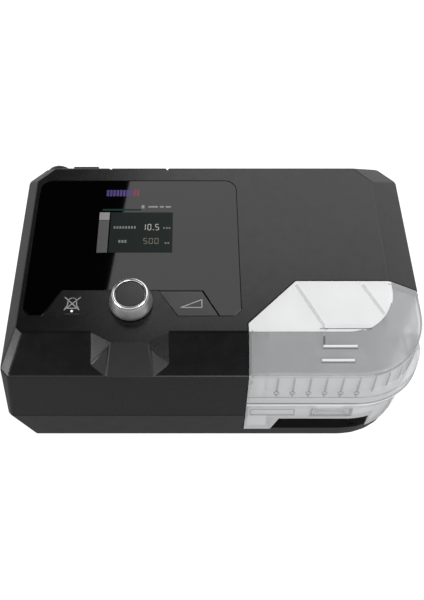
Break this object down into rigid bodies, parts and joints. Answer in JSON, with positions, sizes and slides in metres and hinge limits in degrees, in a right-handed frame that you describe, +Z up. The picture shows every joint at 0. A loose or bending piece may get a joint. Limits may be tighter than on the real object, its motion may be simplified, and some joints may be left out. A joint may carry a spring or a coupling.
{
  "type": "mechanical ventilator",
  "caption": "Bench-top bilevel ventilator with a sloping display panel, turning knob, keys and a clear pull-out humidifier tank in its front right corner.",
  "frame": {"origin": "on the table, under the middle of the machine's bounding box", "axes": "+X to the operator's right along the width, -Y towards the operator, +Z up"},
  "size_m": [0.3054, 0.18, 0.1322],
  "materials": {
    "housing": "fine moulded texture, satin",
    "base": "fine moulded texture, satin",
    "panel": "polished black window",
    "screen": "liquid crystal display",
    "key": "smooth satin with printed icon",
    "silver": "satin turned",
    "polished": "polished",
    "cap": "satin",
    "clear": "clear polycarbonate",
    "lever": "satin",
    "port": "satin",
    "rubber": "matt",
    "silicone": "translucent silicone",
    "white": "moulded",
    "board": "solder mask",
    "steel": "plain",
    "aluminium": "brushed",
    "copper": "varnished wire",
    "foam": "open-cell foam"
  },
  "bodies": {
    "housing": {"upper_housing": "housing", "base_housing": "base", "display_glass": "panel", "lcd_module": "screen", "control_board": "board", "main_board": "board", "ribbon_cable": "silicone", "encoder_body": "steel", "mute_dome": "rubber", "ramp_dome": "rubber", "heater_spring_1": "steel", "heater_spring_2": "steel", "blower_volute": "white", "volute_cover": "white", "motor_bearing": "steel", "motor_stator": "copper", "blower_mount_1": "rubber", "blower_mount_2": "rubber", "blower_mount_3": "rubber", "inlet_muffler": "housing", "muffler_foam": "foam", "inlet_duct": "silicone", "outlet_duct": "silicone", "return_duct": "silicone", "duct_seal_inlet": "silicone", "duct_seal_outlet": "silicone", "outlet_port": "port", "filter_foam": "foam", "dc_inlet": "rubber", "card_slot": "steel", "speaker": "rubber", "rubber_foot_1": "rubber", "rubber_foot_2": "rubber", "rubber_foot_3": "rubber", "rubber_foot_4": "rubber", "housing_screw_1": "steel", "housing_screw_2": "steel", "housing_screw_3": "steel", "housing_screw_4": "steel"},
    "encoder_plunger": {"encoder_shaft": "steel"},
    "knob": {"knob_skirt": "silver", "knob_ring": "polished", "knob_cap": "cap"},
    "mute_button": {"mute_key": "key"},
    "ramp_button": {"ramp_key": "key"},
    "fan": {"impeller": "white", "motor_shaft": "steel", "rotor_magnet": "steel"},
    "heater": {"heater_plate": "aluminium"},
    "water_tank": {"tank_tub": "clear", "tank_base_plate": "steel", "tank_gasket": "silicone", "lid_hinge_pin": "steel"},
    "lid": {"tank_lid": "clear", "tank_baffle": "clear"},
    "lever": {"release_lever": "lever"},
    "filter_door": {"filter_cover": "base"},
    "card_door": {"card_flap": "rubber"}
  },
  "joints": [
    {"name": "knob_press", "type": "slide", "parent": "housing", "child": "encoder_plunger", "axis": [0, 0.2199, -0.9755], "range_m": [0, 0.0006], "stiffness_N_per_m": 2500, "springref_m": -0.0004},
    {"name": "knob_turn", "type": "hinge", "parent": "encoder_plunger", "child": "knob", "pos_m": [-0.0619, -0.0451, 0.10502], "axis": [0, -0.2199, 0.9755], "continuous": true},
    {"name": "mute_press", "type": "slide", "parent": "housing", "child": "mute_button", "axis": [0, 0.2199, -0.9755], "range_m": [0, 0.0006], "stiffness_N_per_m": 1500, "springref_m": -0.0003, "deforming": ["mute_dome"]},
    {"name": "ramp_press", "type": "slide", "parent": "housing", "child": "ramp_button", "axis": [0, 0.2199, -0.9755], "range_m": [0, 0.0006], "stiffness_N_per_m": 1500, "springref_m": -0.0003, "deforming": ["ramp_dome"]},
    {"name": "fan_spin", "type": "hinge", "parent": "housing", "child": "fan", "pos_m": [-0.0212, 0.028, 0.04], "axis": [0, 0, 1], "continuous": true},
    {"name": "heater_give", "type": "slide", "parent": "housing", "child": "heater", "axis": [0, 0, -1], "range_m": [0, 0.002], "stiffness_N_per_m": 700, "springref_m": -0.0015, "deforming": ["heater_spring_1", "heater_spring_2"]},
    {"name": "tank_slide", "type": "slide", "parent": "housing", "child": "water_tank", "axis": [0, -1, 0], "range_m": [0, 0.1]},
    {"name": "lid_hinge", "type": "hinge", "parent": "water_tank", "child": "lid", "pos_m": [0.1504, -0.033, 0.0498], "axis": [0, 1, 0], "range_deg": [0, 100]},
    {"name": "lever_tilt", "type": "hinge", "parent": "water_tank", "child": "lever", "pos_m": [0.0718, -0.0808, 0.022], "axis": [1, 0, 0], "range_deg": [0, 8], "stiffness_Nm_per_rad": 0.4, "springref_deg": -2.86},
    {"name": "filter_cover_pull", "type": "slide", "parent": "housing", "child": "filter_door", "axis": [0, 1, 0], "range_m": [0, 0.03]},
    {"name": "card_flap_hinge", "type": "hinge", "parent": "housing", "child": "card_door", "pos_m": [-0.07905, 0.08875, 0.079], "axis": [0, 0, 1], "range_deg": [0, 90]}
  ]
}
